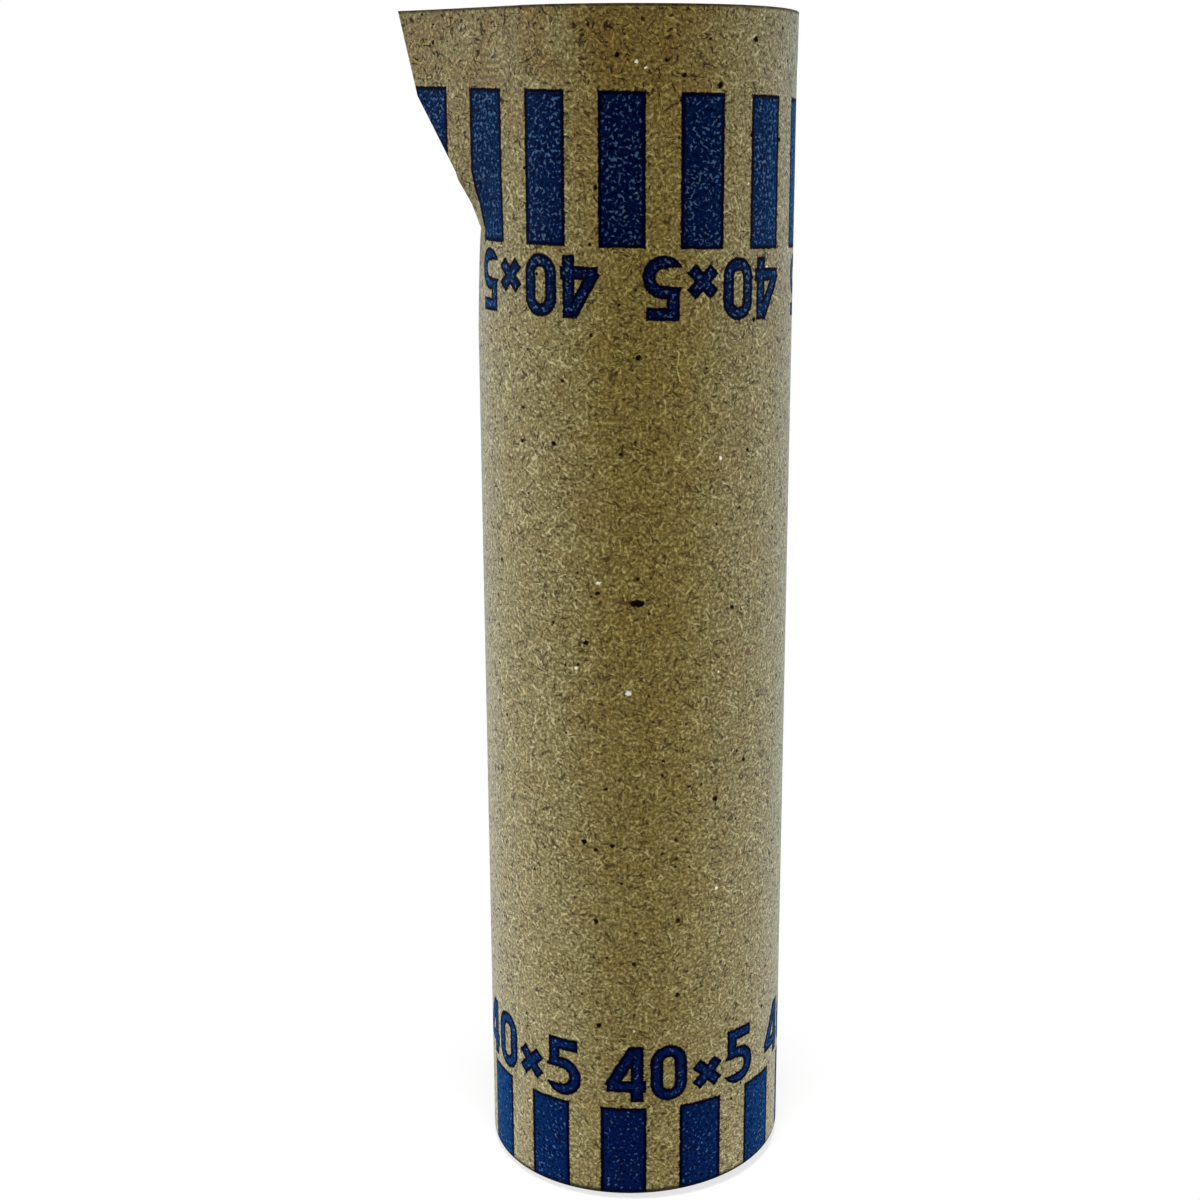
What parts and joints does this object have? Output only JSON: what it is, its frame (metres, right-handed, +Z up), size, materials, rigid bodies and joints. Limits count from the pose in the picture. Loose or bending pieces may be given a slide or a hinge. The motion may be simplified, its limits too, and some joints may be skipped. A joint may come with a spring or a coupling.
{
  "type": "coin roll",
  "caption": "Paper coin roll: a wound kraft tube with printed end stripes, crimped at its base and open at its mouth, holding a column of coins.",
  "frame": {"origin": "on the tube's axis, in the plane that the crimped base stands on", "axes": "+Z up along the tube towards its open mouth, -Y towards the front, +X to the right of the front"},
  "size_m": [0.028, 0.0227, 0.086],
  "materials": {
    "printed_kraft": "matte",
    "coin_metal": "satin"
  },
  "bodies": {
    "wrapper": {"wrapper_tube": "printed_kraft"},
    "flap": {"corner_flap": "printed_kraft"},
    "column": {"coin_01": "coin_metal", "coin_02": "coin_metal", "coin_03": "coin_metal", "coin_04": "coin_metal", "coin_05": "coin_metal", "coin_06": "coin_metal", "coin_07": "coin_metal", "coin_08": "coin_metal", "coin_09": "coin_metal", "coin_10": "coin_metal", "coin_11": "coin_metal", "coin_12": "coin_metal", "coin_13": "coin_metal", "coin_14": "coin_metal", "coin_15": "coin_metal", "coin_16": "coin_metal", "coin_17": "coin_metal", "coin_18": "coin_metal", "coin_19": "coin_metal", "coin_20": "coin_metal", "coin_21": "coin_metal", "coin_22": "coin_metal", "coin_23": "coin_metal", "coin_24": "coin_metal", "coin_25": "coin_metal", "coin_26": "coin_metal", "coin_27": "coin_metal", "coin_28": "coin_metal", "coin_29": "coin_metal", "coin_30": "coin_metal", "coin_31": "coin_metal", "coin_32": "coin_metal", "coin_33": "coin_metal", "coin_34": "coin_metal", "coin_35": "coin_metal", "coin_36": "coin_metal", "coin_37": "coin_metal", "coin_38": "coin_metal", "coin_39": "coin_metal"},
    "top_coin": {"coin_40": "coin_metal"}
  },
  "joints": [
    {"name": "flap_hinge", "type": "hinge", "parent": "wrapper", "child": "flap", "pos_m": [-0.00804, -0.00804, 0.07883], "axis": [0, 0, 1], "range_deg": [0, 90], "stiffness_Nm_per_rad": 0.002},
    {"name": "column_slide", "type": "slide", "parent": "wrapper", "child": "column", "axis": [0, 0, 1], "range_m": [0, 0.0845]},
    {"name": "top_coin_lift", "type": "slide", "parent": "column", "child": "top_coin", "axis": [0, 0, 1], "range_m": [0, 0.0075]}
  ]
}
